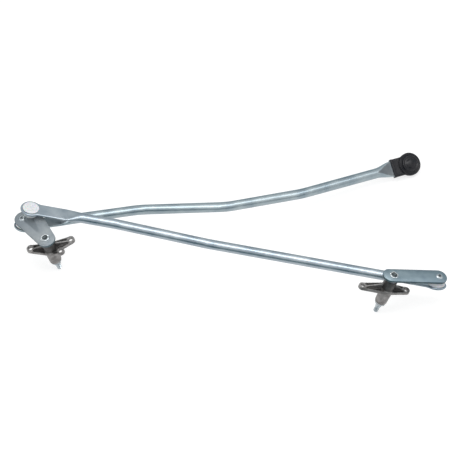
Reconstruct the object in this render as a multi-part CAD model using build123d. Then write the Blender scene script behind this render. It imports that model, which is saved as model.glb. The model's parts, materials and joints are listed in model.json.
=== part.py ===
from build123d import *
import os
from math import asin, atan2, cos, degrees, hypot, pi, radians, sin, sqrt, tan

os.makedirs("parts", exist_ok=True)

# Windscreen wiper linkage: two pivots in cast housings, a bell crank, a single crank,
# a connecting link between the cranks and a drive link that runs to the wiper motor.
# Sizes are in millimetres and angles in degrees. The origin is on the bench that the
# loose linkage lies on, right below the middle of the left wiper shaft's tip, with +Z up.

# How the loose linkage lies: headings are seen from above, from +X towards +Y
left_lean = 20.4
left_lean_heading = -141.8
right_lean = 20.6
right_lean_heading = -9.4
drive_link_heading = 17.9
drive_link_roll = -5.0
connecting_link_heading = -9.75

# Wiper shafts, measured up from the tip
shaft_length = 68.0
shaft_diameter = 9.0
thread_diameter = 6.0
thread_length = 9.0
thread_chamfer = 0.8
serration_length = 4.5
serration_small_diameter = 7.2
serration_large_diameter = 8.4
shoulder_diameter = 14.0
shoulder_thickness = 2.6
shaft_rivet_diameter = 8.0
shaft_rivet_head_diameter = 11.6
rivet_head_height = 1.0
rivet_head_slope = 1.1

# Bearing parts inside and around the housings
bush_wall = 1.5
bush_length = 12.0
bush_running_clearance = 0.05
bush_seat_clearance = 0.01
washer_thickness = 1.2
washer_diameter = 14.4
washer_bore_clearance = 0.3
axial_play = 0.2
seal_section = 2.4
seal_corner = 0.7
seal_running_clearance = 0.1
seal_pocket_clearance = 0.2
circlip_thickness = 1.0
circlip_diameter = 13.2
circlip_groove_depth = 0.5
circlip_clearance = 0.05
circlip_gap_angle = 46.0
circlip_ear_radius = 1.5

# Cast housings, measured up from the shaft tip
barrel_end_height = 18.8
barrel_end_radius = 7.7
barrel_top_radius = 8.4
barrel_end_chamfer = 1.0
crank_to_flange = 24.0
flange_thickness = 4.0
boss_foot_radius = 8.2
boss_top_radius = 8.0
casting_draft = 2.0
lug_radius = 5.2
lug_pad_height = 0.6
lug_hole_diameter = 5.5
arm_root_radius = 9.2
pocket_depth = 2.0
pocket_rim = 1.4
gusset_thickness = 2.2
gusset_height = 7.0
gusset_bite = 0.8
left_flange_plates = [[(26.1, 167.4), (14.5, -26.7)], [(27.7, 16.3)]]
right_flange_plates = [[(33.6, -167.0), (25.0, 11.0)], [(13.6, 84.0)]]
long_arm_reach = 20.0

# Crank plates, pressed from strip, with the pivot at the shaft axis
crank_thickness = 3.5
crank_edge_chamfer = 0.4
left_crank_shaft_lobe = 11.3
left_crank_overhang = 2.4
left_crank_drive_radius = 46.2
left_crank_drive_heading = 128.1
left_crank_drive_lobe = 10.1
left_crank_link_radius = 41.9
left_crank_link_heading = 111.2
left_crank_link_lobe = 10.1
right_crank_radius = 63.1
right_crank_heading = 17.6
right_crank_width = 20.6
right_crank_overhang = 4.3

# Ball studs, measured from the face of the crank
ball_diameter = 13.0
ball_height = 7.9
ball_top_flat = 6.0
stud_neck_diameter = 6.4
stud_collar_diameter = 9.0
stud_collar_height = 0.8
stud_rivet_diameter = 6.5
stud_rivet_head_diameter = 8.6

# Moulded ball sockets, measured from the centre of the ball towards the cap
socket_running_clearance = 0.06
socket_mouth_depth = 3.4
socket_skirt_depth = 4.0
socket_skirt_radius = 8.9
socket_mouth_radius = 6.5
socket_barb_radius = 9.9
socket_barrel_radius = 9.2
socket_hole_clearance = 0.1
socket_cap_radius = 10.3
socket_cap_height = 1.2
socket_cap_round = 0.4
socket_crown_radius = 7.6
socket_crown_height = 1.0

# Links: steel tube, pressed flat at both ends
tube_diameter = 12.7
tube_wall = 1.5
flat_thickness = 3.0
flat_corner = 1.0
flat_reach = 46.0
press_length = 20.0
eye_radius = 13.2
eye_blend_radius = 14.0
eye_offset = 3.6
connecting_link_length = 516.2
connecting_link_bends = [(110.0, 1.6), (225.0, -3.2)]
connecting_link_bend_radius = 120.0
connecting_link_twist = -16.0
drive_link_length = 506.7
drive_link_bends = [(149.6, -4.9), (258.0, -27.4), (357.4, -24.8)]
drive_link_bend_radius = 90.0
motor_end_twist = 45.0
motor_flat_reach = 26.0
motor_eye_radius = 12.2
press_steps = 4

# Rubber boot over the motor end, measured from the middle of the pressed eye
boot_clearance = 0.15
boot_radius = 14.5
boot_half_thickness = 3.4
boot_edge_drop = 1.2
boot_edge_inset = 2.4
boot_wall = 1.5
boot_step_radius = 8.2
boot_step_height = 1.6
boot_mouth_radius = 6.4
boot_lip_thickness = 1.4
boot_lip_chamfer = 1.2
boot_collar_reach = 24.4
boot_collar_width = 23.2
boot_collar_thickness = 6.6
boot_collar_round = 2.0
boot_bead_length = 2.6
boot_bead_height = 0.3

# Heights that follow from the sizes above
shaft_radius = shaft_diameter / 2
crank_underside = shaft_length - crank_thickness
shoulder_underside = crank_underside - shoulder_thickness
boss_top = shoulder_underside - axial_play - washer_thickness
flange_top_height = shaft_length - crank_to_flange
seal_pocket_depth = seal_section + seal_pocket_clearance
flange_underside = flange_top_height - flange_thickness
lower_washer_underside = barrel_end_height - washer_thickness
circlip_top = lower_washer_underside - axial_play
circlip_underside = circlip_top - circlip_thickness
bush_radius = shaft_radius + bush_running_clearance + bush_wall
ball_radius = ball_diameter / 2
socket_radius = ball_radius + socket_running_clearance
tube_radius = tube_diameter / 2
flat_width = pi * tube_diameter / 2
plate_underside = eye_offset - flat_thickness / 2
plate_top = eye_offset + flat_thickness / 2


def spun(points):
    """A solid of revolution about Z from radius and height pairs."""
    outline = Polyline(*[(radius, 0, height) for radius, height in points], close=True)
    return revolve(make_face(outline), Axis.Z)


def rounded_outline(circles):
    """A face bounded by the arcs and common tangents of circles (x, y, radius)."""
    rims = ShapeList()
    for x, y, radius in circles:
        rims += (Pos(x, y) * Circle(radius)).edges()
    return make_hull(rims)


def polar(radius, heading):
    return radius * cos(radians(heading)), radius * sin(radians(heading))


# Wiper shafts and their bearing parts, upright on the tip of the shaft


def wiper_shaft():
    groove_radius = shaft_radius - circlip_groove_depth
    serration_end = thread_length + serration_length
    head_top = shaft_length + rivet_head_height
    return spun([
        (0, 0),
        (thread_diameter / 2 - thread_chamfer, 0),
        (thread_diameter / 2, thread_chamfer),
        (thread_diameter / 2, thread_length),
        (serration_small_diameter / 2, thread_length),
        (serration_large_diameter / 2, serration_end),
        (shaft_radius, serration_end),
        (shaft_radius, circlip_underside - circlip_clearance),
        (groove_radius, circlip_underside - circlip_clearance),
        (groove_radius, circlip_top + circlip_clearance),
        (shaft_radius, circlip_top + circlip_clearance),
        (shaft_radius, shoulder_underside),
        (shoulder_diameter / 2, shoulder_underside),
        (shoulder_diameter / 2, crank_underside),
        (shaft_rivet_diameter / 2, crank_underside),
        (shaft_rivet_diameter / 2, shaft_length),
        (shaft_rivet_head_diameter / 2, shaft_length),
        (shaft_rivet_head_diameter / 2 - rivet_head_slope, head_top),
        (0, head_top),
    ])


def shaft_bush(underside):
    bore_radius = shaft_radius + bush_running_clearance
    bush = Cylinder(bush_radius, bush_length) - Cylinder(bore_radius, bush_length)
    return Pos(0, 0, underside + bush_length / 2) * bush


def upper_bush():
    return shaft_bush(boss_top - seal_pocket_depth - bush_length)


def lower_bush():
    return shaft_bush(barrel_end_height)


def washer(underside):
    bore_radius = shaft_radius + washer_bore_clearance
    middle = underside + washer_thickness / 2
    ring = Cylinder(washer_diameter / 2, washer_thickness) - Cylinder(bore_radius, washer_thickness)
    return Pos(0, 0, middle) * ring


def seal_ring():
    """A rubber ring with cut corners in the pocket at the top of the boss."""
    inner = shaft_radius + seal_running_clearance
    outer = inner + seal_section
    underside = boss_top - seal_pocket_depth
    top = underside + seal_section
    return spun([
        (inner, underside + seal_corner),
        (inner + seal_corner, underside),
        (outer - seal_corner, underside),
        (outer, underside + seal_corner),
        (outer, top - seal_corner),
        (outer - seal_corner, top),
        (inner + seal_corner, top),
        (inner, top - seal_corner),
    ])


def circlip():
    """An open spring ring with two drilled ears, in the groove of the shaft."""
    bore_radius = shaft_radius - circlip_groove_depth + circlip_clearance
    ring = Circle(circlip_diameter / 2) - Circle(bore_radius)
    reach = circlip_diameter
    mouth = Polyline(
        (0, 0),
        polar(reach, circlip_gap_angle / 2),
        polar(reach, -circlip_gap_angle / 2),
        close=True,
    )
    ring -= make_face(mouth)
    ear_distance = bore_radius + circlip_ear_radius
    for side in (-1, 1):
        ear_heading = side * (circlip_gap_angle / 2 + degrees(circlip_ear_radius / ear_distance))
        ear_x, ear_y = polar(ear_distance, ear_heading)
        ring += Pos(ear_x, ear_y) * Circle(circlip_ear_radius)
        ring -= Pos(ear_x, ear_y) * Circle(circlip_ear_radius / 2)
    return extrude(Pos(0, 0, circlip_underside) * ring, circlip_thickness)


# Cast housings


def flange_plate(lugs, margin=0.0):
    """Outline of a plate from the hub out to one or more lugs, shrunk by a margin."""
    circles = [(0, 0, arm_root_radius - margin)]
    for reach, heading in lugs:
        circles.append((*polar(reach, heading), lug_radius - margin))
    return rounded_outline(circles)


def flange(plates):
    """Drafted plates with sunk pockets, and a raised pad on each lug."""
    draft = flange_thickness * tan(radians(casting_draft))
    body = Part()
    for lugs in plates:
        lower = Pos(0, 0, flange_underside) * flange_plate(lugs)
        upper = Pos(0, 0, flange_top_height) * flange_plate(lugs, draft)
        body += loft([lower, upper], ruled=True)
    for lugs in plates:
        pocket = flange_plate(lugs, draft + pocket_rim)
        for reach, heading in lugs:
            lug_x, lug_y = polar(reach, heading)
            pocket -= Pos(lug_x, lug_y) * Circle(lug_radius)
        pocket -= Circle(boss_foot_radius)
        body -= extrude(Pos(0, 0, flange_top_height - pocket_depth) * pocket, pocket_depth)
    for lugs in plates:
        for reach, heading in lugs:
            lug_x, lug_y = polar(reach, heading)
            pad = Cylinder(lug_radius - draft, 2 * lug_pad_height)
            body += Pos(lug_x, lug_y, flange_top_height) * pad
    return body


def arm_gusset(reach, heading):
    """A tapering web from the boss down to the pad of a lug."""
    foot = reach - lug_radius + gusset_bite
    floor = flange_top_height - pocket_depth
    side = make_face(Polyline(
        (boss_top_radius / 2, 0, floor),
        (foot, 0, floor),
        (foot, 0, flange_top_height),
        (boss_top_radius, 0, flange_top_height + gusset_height),
        (boss_top_radius / 2, 0, flange_top_height + gusset_height),
        close=True,
    ))
    return Rot(0, 0, heading) * extrude(side, gusset_thickness / 2, both=True)


def pivot_housing(plates):
    """Barrel, flange and boss in one casting, bored for the shaft, its bushes and seal."""
    body = spun([
        (0, barrel_end_height),
        (barrel_end_radius - barrel_end_chamfer, barrel_end_height),
        (barrel_end_radius, barrel_end_height + barrel_end_chamfer),
        (barrel_top_radius, flange_underside),
        (boss_foot_radius, flange_underside),
        (boss_foot_radius, flange_top_height),
        (boss_top_radius, boss_top),
        (0, boss_top),
    ])
    body += flange(plates)
    lugs = [lug for plate in plates for lug in plate]
    for reach, heading in lugs:
        if reach > long_arm_reach:
            body += arm_gusset(reach, heading)
        lug_x, lug_y = polar(reach, heading)
        hole = Cylinder(lug_hole_diameter / 2, 4 * flange_thickness)
        body -= Pos(lug_x, lug_y, flange_top_height) * hole
    bush_seat = bush_radius + bush_seat_clearance
    upper_bush_underside = boss_top - seal_pocket_depth - bush_length
    lower_bush_top = barrel_end_height + bush_length
    seal_pocket_radius = shaft_radius + seal_running_clearance + seal_section + seal_pocket_clearance
    body -= spun([
        (0, barrel_end_height),
        (bush_seat, barrel_end_height),
        (bush_seat, lower_bush_top),
        (shaft_radius + bush_wall, lower_bush_top),
        (shaft_radius + bush_wall, upper_bush_underside),
        (bush_seat, upper_bush_underside),
        (bush_seat, boss_top - seal_pocket_depth),
        (seal_pocket_radius, boss_top - seal_pocket_depth),
        (seal_pocket_radius, boss_top),
        (0, boss_top),
    ])
    return body


# Cranks, with the shaft axis at the origin and the plate at its height on the shaft


def crank_plate(outline, holes):
    """A pressed plate with broken rims and its rivet holes (x, y, diameter)."""
    plate = extrude(Pos(0, 0, crank_underside) * outline, crank_thickness)
    rims = plate.edges().group_by(Axis.Z)
    plate = chamfer(rims[0] + rims[-1], crank_edge_chamfer)
    for x, y, diameter in holes:
        plate -= Pos(x, y, shaft_length) * Cylinder(diameter / 2, 4 * crank_thickness)
    return plate


def left_crank():
    drive_x, drive_y = polar(left_crank_drive_radius, left_crank_drive_heading)
    link_x, link_y = polar(left_crank_link_radius, left_crank_link_heading)
    tail_x, tail_y = polar(-left_crank_overhang, left_crank_drive_heading)
    outline = rounded_outline([
        (tail_x, tail_y, left_crank_shaft_lobe),
        (drive_x, drive_y, left_crank_drive_lobe),
        (link_x, link_y, left_crank_link_lobe),
    ])
    holes = [
        (0, 0, shaft_rivet_diameter),
        (drive_x, drive_y, stud_rivet_diameter),
        (link_x, link_y, stud_rivet_diameter),
    ]
    return crank_plate(outline, holes)


def right_crank():
    end_x, end_y = polar(right_crank_radius, right_crank_heading)
    tail_x, tail_y = polar(-right_crank_overhang, right_crank_heading)
    outline = rounded_outline([
        (tail_x, tail_y, right_crank_width / 2),
        (end_x, end_y, right_crank_width / 2),
    ])
    holes = [(0, 0, shaft_rivet_diameter), (end_x, end_y, stud_rivet_diameter)]
    return crank_plate(outline, holes)


def ball_stud():
    """A riveted stud that stands on the crank's face, with its ball upwards."""
    neck_radius = stud_neck_diameter / 2
    head_top = -crank_thickness - rivet_head_height
    shank = spun([
        (0, head_top),
        (stud_rivet_head_diameter / 2 - rivet_head_slope, head_top),
        (stud_rivet_head_diameter / 2, -crank_thickness),
        (stud_rivet_diameter / 2, -crank_thickness),
        (stud_rivet_diameter / 2, 0),
        (stud_collar_diameter / 2, 0),
        (stud_collar_diameter / 2, stud_collar_height),
        (neck_radius, stud_collar_height + stud_collar_diameter / 2 - neck_radius),
        (neck_radius, ball_height),
        (0, ball_height),
    ])
    ball = Sphere(ball_radius) & Pos(0, 0, ball_top_flat - ball_radius) * Cylinder(
        ball_radius, 2 * ball_radius
    )
    return shank + Pos(0, 0, ball_height) * ball


def ball_socket():
    """A snap-in socket round a ball at the origin, closed by its cap at the top."""
    cap_rim = plate_top + socket_cap_height
    crown_top = cap_rim + socket_crown_height
    body = spun([
        (0, -socket_skirt_depth),
        (socket_skirt_radius, -socket_skirt_depth),
        (socket_barb_radius, plate_underside),
        (socket_barrel_radius, plate_underside),
        (socket_barrel_radius, plate_top),
        (socket_cap_radius, plate_top),
        (socket_cap_radius, cap_rim - socket_cap_round),
        (socket_cap_radius - socket_cap_round, cap_rim),
        (socket_crown_radius, cap_rim),
        (socket_crown_radius - socket_crown_height / 2, crown_top),
        (0, crown_top),
    ])
    mouth_ring = sqrt(socket_radius**2 - socket_mouth_depth**2)
    mouth = spun([
        (0, -socket_skirt_depth),
        (socket_mouth_radius, -socket_skirt_depth),
        (mouth_ring, -socket_mouth_depth),
        (0, -socket_mouth_depth),
    ])
    return body - Sphere(socket_radius) - mouth


# Links: round tube whose ends are pressed flat and opened out to an eye


def pressed_section(flatness):
    """The tube's section on its way from round, flatness 0, to flat, flatness 1."""
    half_width = flat_width / 2
    half_height = flat_thickness / 2
    corner = flat_corner
    quarter = half_width - corner + half_height - corner + corner * sqrt(2)
    first = radians(90 * (half_width - corner) / quarter)
    last = first + radians(90 * corner * sqrt(2) / quarter)

    def point(angle, flat_y, flat_z):
        y = tube_radius * sin(angle) * (1 - flatness) + flat_y * flatness
        z = tube_radius * cos(angle) * (1 - flatness) + flat_z * flatness
        return y, z

    slant = corner / 2
    top = point(0, 0, half_height)
    top_end = point(first, half_width - corner, half_height)
    corner_middle = point((first + last) / 2, half_width - slant, half_height - slant)
    side_end = point(last, half_width, half_height - corner)
    side = point(pi / 2, half_width, 0)

    def turned(position, y_side, z_side):
        return position[0] * y_side, position[1] * z_side

    def joined(start, middle, end):
        return Line(start, end) if flatness == 1 else ThreePointArc(start, middle, end)

    edges = []
    for z_side in (1, -1):
        left_end = turned(top_end, -1, z_side)
        right_end = turned(top_end, 1, z_side)
        edges.append(joined(left_end, turned(top, 1, z_side), right_end))
        upper_end = turned(side_end, z_side, 1)
        lower_end = turned(side_end, z_side, -1)
        edges.append(joined(upper_end, turned(side, z_side, 1), lower_end))
        for y_side in (1, -1):
            edges.append(joined(
                turned(top_end, y_side, z_side),
                turned(corner_middle, y_side, z_side),
                turned(side_end, y_side, z_side),
            ))
    return make_face(edges)


def pressed_run():
    """The stretch where the tube goes flat, from x = press_length down to x = 0."""
    sections = []
    for step in range(press_steps + 1):
        share = step / press_steps
        flatness = share * share * (3 - 2 * share)
        place = Plane(origin=(press_length * (1 - share), 0, 0), x_dir=(0, 1, 0), z_dir=(1, 0, 0))
        sections.append(place * pressed_section(flatness))
    return loft(sections)


def eye_outline(reach, radius, margin=0.0):
    """An eye blended into the flat that leaves it along +X, grown by a margin."""
    half_width = flat_width / 2 + margin
    outline = Circle(radius + margin) + Pos(reach / 2, 0) * Rectangle(reach, 2 * half_width)
    necks = [
        corner for corner in outline.vertices()
        if 0 < corner.X < radius and abs(abs(corner.Y) - half_width) < 0.01
    ]
    return fillet(necks, eye_blend_radius - margin)


def pressed_end(reach, radius):
    """Eye, flat and pressed run of a tube that leaves along +X, the eye at the origin."""
    outline = eye_outline(reach, radius)
    plate = extrude(Pos(0, 0, -flat_thickness / 2) * outline, flat_thickness)
    rims = [edge for edge in plate.edges() if edge.center().X < reach - 0.01]
    rims = [edge for edge in rims if abs(abs(edge.center().Z) - flat_thickness / 2) < 0.01]
    plate = chamfer(rims, flat_corner)
    plate -= Cylinder(socket_barrel_radius + socket_hole_clearance, 2 * flat_thickness)
    return plate + Pos(reach, 0, 0) * pressed_run()


def end_frames(length, bends, twist):
    """Where the two eyes of a link lie, each with +X along the tube that leaves it."""
    first_x, first_y = bends[0]
    last_x, last_y = bends[-1]
    near = Rot(0, 0, degrees(atan2(first_y, first_x)))
    far_heading = degrees(atan2(-last_y, length - last_x))
    far = Pos(length, 0, 0) * Rot(0, 0, far_heading) * Rot(twist, 0, 0) * Rot(0, 0, 180)
    return near, far


def link_tube(length, bends, bend_radius, near_reach, far_reach, far_radius, twist):
    """A bent tube from eye to eye, with the first eye at the origin and the other on +X."""
    near, far = end_frames(length, bends, twist)
    start = (near * Pos(near_reach + press_length, 0, 0)).position
    finish = (far * Pos(far_reach + press_length, 0, 0)).position
    corners = [Vector(x, y, 0) for x, y in bends]
    route = FilletPolyline(start, *corners, finish, radius=bend_radius)
    mouth = Plane(origin=start, z_dir=corners[0] - start)
    ring = Circle(tube_radius) - Circle(tube_radius - tube_wall)
    tube = sweep(mouth * ring, path=route)
    tube += near * pressed_end(near_reach, eye_radius)
    tube += far * pressed_end(far_reach, far_radius)
    return tube


def connecting_link_tube():
    return link_tube(
        connecting_link_length, connecting_link_bends, connecting_link_bend_radius,
        flat_reach, flat_reach, eye_radius, connecting_link_twist,
    )


def drive_link_tube():
    return link_tube(
        drive_link_length, drive_link_bends, drive_link_bend_radius,
        flat_reach, motor_flat_reach, motor_eye_radius, motor_end_twist,
    )


def cap_reach():
    """Height of the socket's crown above the middle of the eye."""
    return flat_thickness / 2 + socket_cap_height + socket_crown_height


def boot_mouth_depth():
    """Depth of the boot's lip below the middle of the eye."""
    return eye_offset + socket_skirt_depth + boot_clearance + boot_lip_thickness


def boot_sleeve_radius():
    return socket_barb_radius + boot_clearance + boot_wall


def motor_boot():
    """A rubber boot over the eye, with a stepped crown, an open mouth and a collar."""
    step_base = cap_reach() + boot_clearance + boot_wall - boot_step_height
    crown_radius = socket_cap_radius + boot_clearance + boot_wall
    mouth_depth = boot_mouth_depth()
    sleeve_radius = boot_sleeve_radius()
    disc = spun([
        (0, -boot_half_thickness),
        (boot_radius - boot_edge_inset, -boot_half_thickness),
        (boot_radius, boot_edge_drop - boot_half_thickness),
        (boot_radius, boot_half_thickness - boot_edge_drop),
        (boot_radius - boot_edge_inset, boot_half_thickness),
        (0, boot_half_thickness),
    ])
    crown = spun([
        (0, 0),
        (crown_radius, 0),
        (crown_radius, boot_half_thickness),
        (crown_radius - boot_lip_chamfer, step_base),
        (boot_step_radius, step_base),
        (boot_step_radius - boot_step_height / 2, step_base + boot_step_height),
        (0, step_base + boot_step_height),
    ])
    sleeve = Pos(0, 0, -mouth_depth / 2) * Cylinder(sleeve_radius, mouth_depth)
    sleeve = chamfer(sleeve.edges().group_by(Axis.Z)[0], boot_lip_chamfer)
    collar_face = RectangleRounded(boot_collar_width, boot_collar_thickness, boot_collar_round)
    bead_face = RectangleRounded(
        boot_collar_width + 2 * boot_bead_height,
        boot_collar_thickness + 2 * boot_bead_height,
        boot_collar_round + boot_bead_height,
    )
    across = Plane(origin=(0, 0, 0), x_dir=(0, 1, 0), z_dir=(1, 0, 0))
    collar = extrude(across * collar_face, boot_collar_reach)
    bead = extrude(across * bead_face, boot_bead_length)
    bead = Pos(boot_collar_reach - boot_bead_length, 0, 0) * bead
    boot = disc + crown + sleeve + collar + bead
    eye_face = eye_outline(motor_flat_reach, motor_eye_radius, boot_clearance)
    eye_room = extrude(eye_face, flat_thickness / 2 + boot_clearance, both=True)
    socket_room = spun([
        (0, -mouth_depth),
        (boot_mouth_radius, -mouth_depth),
        (boot_mouth_radius, boot_lip_thickness - mouth_depth),
        (socket_barb_radius + boot_clearance, boot_lip_thickness - mouth_depth),
        (socket_barb_radius + boot_clearance, 0),
        (socket_cap_radius + boot_clearance, 0),
        (socket_cap_radius + boot_clearance, cap_reach() - socket_crown_height + boot_clearance),
        (socket_crown_radius + boot_clearance, cap_reach() + boot_clearance),
        (0, cap_reach() + boot_clearance),
    ])
    return boot - eye_room - socket_room


# Where each body lies


def standing(lean, heading):
    """A shaft's frame that leans towards a heading, the lower edge of its tip on the bench."""
    edge_drop = (thread_diameter / 2 - thread_chamfer) * sin(radians(lean))
    return Pos(0, 0, edge_drop) * Rot(0, 0, heading) * Rot(0, lean, 0) * Rot(0, 0, -heading)


def drop_angle(rise, run, offset):
    """Slope of a link whose far end lies rise below its near end, both offset from it."""
    return degrees(asin(rise / hypot(run, offset)) + atan2(offset, run))


def boot_rest_height():
    """Height of the middle of the motor eye when the boot's lip lies on the bench."""
    tilt = radians(drive_link_roll + motor_end_twist)
    lip_edge = boot_sleeve_radius() - boot_lip_chamfer
    lip_edge_height = lip_edge * sin(tilt) + boot_mouth_depth() * cos(tilt)
    sleeve_edge_depth = boot_mouth_depth() - boot_lip_chamfer
    sleeve_edge_height = boot_sleeve_radius() * sin(tilt) + sleeve_edge_depth * cos(tilt)
    return max(lip_edge_height, sleeve_edge_height)


left_pivot_frame = standing(left_lean, left_lean_heading)

drive_x, drive_y = polar(left_crank_drive_radius, left_crank_drive_heading)
link_x, link_y = polar(left_crank_link_radius, left_crank_link_heading)
drive_stud_frame = left_pivot_frame * Pos(drive_x, drive_y, crank_underside) * Rot(180, 0, 0)
link_stud_frame = left_pivot_frame * Pos(link_x, link_y, shaft_length)
drive_ball = (drive_stud_frame * Pos(0, 0, ball_height)).position
link_ball = (link_stud_frame * Pos(0, 0, ball_height)).position

right_upright = standing(right_lean, right_lean_heading)
end_x, end_y = polar(right_crank_radius, right_crank_heading)
right_stud_in_pivot = Pos(end_x, end_y, crank_underside) * Rot(180, 0, 0)
right_ball_in_pivot = (right_upright * right_stud_in_pivot * Pos(0, 0, ball_height)).position

connecting_link_slope = drop_angle(
    link_ball.Z - right_ball_in_pivot.Z,
    connecting_link_length,
    eye_offset * (1 + cos(radians(connecting_link_twist))),
)
connecting_link_frame = (
    Pos(link_ball)
    * Rot(0, 0, connecting_link_heading)
    * Rot(0, connecting_link_slope, 0)
    * Pos(0, 0, eye_offset)
)
link_near_end, link_far_end = end_frames(
    connecting_link_length, connecting_link_bends, connecting_link_twist
)
right_ball = (connecting_link_frame * link_far_end * Pos(0, 0, eye_offset)).position
right_pivot_frame = Pos(right_ball - right_ball_in_pivot) * right_upright
right_stud_frame = right_pivot_frame * right_stud_in_pivot

drive_link_slope = drop_angle(drive_ball.Z - boot_rest_height(), drive_link_length, -eye_offset)
drive_link_frame = (
    Pos(drive_ball)
    * Rot(0, 0, drive_link_heading)
    * Rot(0, drive_link_slope, 0)
    * Rot(drive_link_roll, 0, 0)
    * Pos(0, 0, -eye_offset)
)
drive_near_end, motor_end = end_frames(drive_link_length, drive_link_bends, motor_end_twist)
motor_end_frame = drive_link_frame * motor_end

left_link_socket_frame = connecting_link_frame * link_near_end * Pos(0, 0, -eye_offset)
right_link_socket_frame = (
    connecting_link_frame * link_far_end * Pos(0, 0, eye_offset) * Rot(180, 0, 0)
)
drive_socket_frame = drive_link_frame * drive_near_end * Pos(0, 0, eye_offset) * Rot(180, 0, 0)
motor_socket_frame = motor_end_frame * Pos(0, 0, -eye_offset)


def pivot_parts(side, plates):
    """The pieces on one wiper shaft, without its crank."""
    return {
        f"{side}_housing": pivot_housing(plates),
        f"{side}_shaft": wiper_shaft(),
        f"{side}_upper_bush": upper_bush(),
        f"{side}_lower_bush": lower_bush(),
        f"{side}_seal_ring": seal_ring(),
        f"{side}_thrust_washer": washer(boss_top),
        f"{side}_flat_washer": washer(lower_washer_underside),
        f"{side}_circlip": circlip(),
    }


def placed_parts():
    parts = {}
    for name, shape in pivot_parts("left", left_flange_plates).items():
        parts[name] = left_pivot_frame * shape
    for name, shape in pivot_parts("right", right_flange_plates).items():
        parts[name] = right_pivot_frame * shape
    parts["left_crank_arm"] = left_pivot_frame * left_crank()
    parts["right_crank_arm"] = right_pivot_frame * right_crank()
    parts["drive_ball_stud"] = drive_stud_frame * ball_stud()
    parts["link_ball_stud"] = link_stud_frame * ball_stud()
    parts["right_ball_stud"] = right_stud_frame * ball_stud()
    parts["connecting_link_tube"] = connecting_link_frame * connecting_link_tube()
    parts["connecting_link_left_socket"] = left_link_socket_frame * ball_socket()
    parts["connecting_link_right_socket"] = right_link_socket_frame * ball_socket()
    parts["drive_link_tube"] = drive_link_frame * drive_link_tube()
    parts["drive_link_socket"] = drive_socket_frame * ball_socket()
    parts["motor_socket"] = motor_socket_frame * ball_socket()
    parts["motor_boot"] = motor_end_frame * motor_boot()
    return parts


for part_name, part_shape in placed_parts().items():
    export_step(part_shape, f"parts/{part_name}.step")
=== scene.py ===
import json
from math import asin, atan2, cos, degrees, hypot, pi, radians, sin, sqrt, tan

import bmesh
import bpy
from mathutils import Matrix, Vector


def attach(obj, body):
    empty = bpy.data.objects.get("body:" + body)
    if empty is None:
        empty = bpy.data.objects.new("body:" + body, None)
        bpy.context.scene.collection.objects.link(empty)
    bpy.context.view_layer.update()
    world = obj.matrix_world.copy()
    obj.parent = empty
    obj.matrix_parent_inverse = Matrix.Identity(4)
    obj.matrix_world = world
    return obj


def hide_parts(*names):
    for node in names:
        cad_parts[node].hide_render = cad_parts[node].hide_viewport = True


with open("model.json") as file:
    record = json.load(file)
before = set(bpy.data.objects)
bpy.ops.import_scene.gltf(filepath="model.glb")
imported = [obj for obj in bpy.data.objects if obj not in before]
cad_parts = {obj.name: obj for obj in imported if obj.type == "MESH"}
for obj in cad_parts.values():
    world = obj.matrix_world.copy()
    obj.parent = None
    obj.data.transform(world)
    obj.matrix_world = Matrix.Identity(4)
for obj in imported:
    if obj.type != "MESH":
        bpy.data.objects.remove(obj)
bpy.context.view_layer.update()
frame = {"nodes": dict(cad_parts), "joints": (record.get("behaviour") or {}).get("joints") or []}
joints = {joint["name"]: joint for joint in frame["joints"]}
MM = 0.001
SIDES = ("left", "right")

# Merging distances in a piece's own millimetres and in the shared metres, and the least turn of a sharp edge
MERGE_MM = 1e-4
MERGE_M = 1e-6
SHARP_ANGLE = 38.0

# A face counts as facing along its axis when the axis's share of its normal is over this
FACING = 0.5

# How the loose linkage lies, in degrees: headings seen from above, and slopes down along the links for the
# marks in their zinc. The marks on the cranks run at a heading of their own
CONNECTING_LINK_HEADING = -9.75
CONNECTING_LINK_SLOPE = 6.0
DRIVE_LINK_HEADING = 17.9
DRIVE_LINK_SLOPE = 4.0
CRANK_GRAIN = 20.0

# Wiper shafts, in millimetres up from the tip
SHAFT_LENGTH = 68.0
SHAFT_RADIUS = 4.5
THREAD_RADIUS = 3.0
THREAD_DEPTH = 0.55
THREAD_PITCH = 1.0
THREAD_LENGTH = 9.0
THREAD_STEPS = 28
TIP_CHAMFER = 0.8
SERRATION_LENGTH = 4.5
SERRATION_SMALL_RADIUS = 3.6
SERRATION_LARGE_RADIUS = 4.2
SERRATION_DEPTH = 0.35
SERRATION_COUNT = 36
SHOULDER_RADIUS = 7.0
SHOULDER_THICKNESS = 2.6
CRANK_THICKNESS = 3.5
SHAFT_RIVET_RADIUS = 4.0
SHAFT_HEAD_RADIUS = 5.8
SHAFT_HEAD_ROUND = 1.1
SHAFT_EDGE_BREAK = 0.4
SHOULDER_EDGE_BREAK = 0.3
SHAFT_SIDES = 96
HEAD_HEIGHT = 1.0
RECESS_DEPTH = 0.7
RECESS_LIP = 0.5
PUNCH_DEPTH = 0.55
CIRCLIP_GROOVE_LOW = 16.35
CIRCLIP_GROOVE_HIGH = 17.45
CIRCLIP_GROOVE_RADIUS = 4.0

# One thread tooth: how far up its pitch each corner is, at the root or at the crest
THREAD_ROOT_SHARES = (0.0, 0.14)
THREAD_CREST_SHARES = (0.46, 0.60)
THREAD_NEXT_ROOT_SHARES = (0.92, 1.0)

# The swaged shaft heads: the recess's radius, the number of punch marks and the first one's heading
PUNCHED_HEADS = {"left": (3.4, 4, 20.0), "right": (3.9, 6, 0.0)}

# Where shade is painted on a housing, on its boss and its pocket floors, in millimetres up from the shaft's
# tip and out from its axis
FLANGE_TOP = 44.0
SHADED_BOSS_LOW = FLANGE_TOP + 1.0
SHADED_BOSS_RADIUS = 9.0
POCKET_FLOOR_LOW = FLANGE_TOP - 2.6
POCKET_FLOOR_HIGH = FLANGE_TOP - 1.2

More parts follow.
